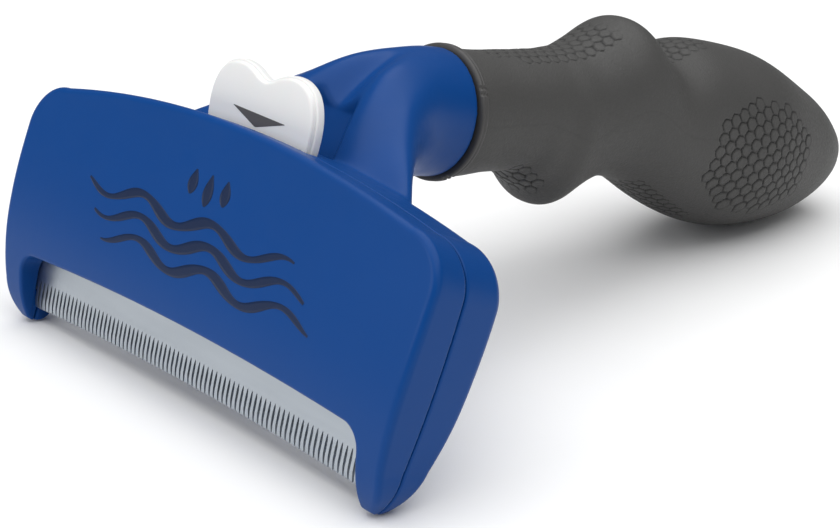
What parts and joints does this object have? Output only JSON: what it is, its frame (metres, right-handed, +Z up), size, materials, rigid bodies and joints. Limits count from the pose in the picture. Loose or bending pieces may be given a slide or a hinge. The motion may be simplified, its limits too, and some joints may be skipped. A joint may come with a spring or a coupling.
{
  "type": "deshedding tool",
  "caption": "Deshedding tool: wide toothed steel blade between two head shells, sprung heart-shaped ejector button, angled neck and contoured soft grip.",
  "frame": {"origin": "middle of the bounding box footprint, at the table the tool rests on", "axes": "+Y from the head towards the butt of the grip, +Z up from the table, +X to the right seen from the front of the head"},
  "size_m": [0.1188, 0.1914, 0.0611],
  "materials": {
    "blue_plastic": "satin moulded",
    "white_plastic": "smooth moulded",
    "black_plastic": "plain moulded",
    "blade_steel": "ground stainless",
    "plain_steel": "stamped",
    "screw_steel": "plated",
    "spring_steel": "drawn wire",
    "grey_rubber": "pebbled soft grip",
    "black_rubber": "matt"
  },
  "bodies": {
    "tool": {"front_shell": "blue_plastic", "rear_shell": "blue_plastic", "deshedding_blade": "blade_steel", "blade_clamp": "plain_steel", "blade_screws": "screw_steel", "shell_screws": "screw_steel", "return_spring_left": "spring_steel", "return_spring_right": "spring_steel", "spring_pin_left": "screw_steel", "spring_pin_right": "screw_steel", "grip_collar": "grey_rubber", "neck_gasket": "black_rubber", "neck_screw": "screw_steel", "handle_core_left": "black_plastic", "handle_core_right": "black_plastic", "core_screws": "screw_steel", "rubber_grip": "grey_rubber"},
    "ejector": {"ejector_plate": "blade_steel", "ejector_carriage": "black_plastic", "plate_rivets": "screw_steel", "ejector_button": "white_plastic", "button_screws": "screw_steel"}
  },
  "joints": [
    {"name": "ejector_slide", "type": "slide", "parent": "tool", "child": "ejector", "axis": [0, -0.2416, -0.9704], "range_m": [0, 0.0055], "stiffness_N_per_m": 450, "springref_m": -0.004, "deforming": ["return_spring_left", "return_spring_right"]}
  ]
}
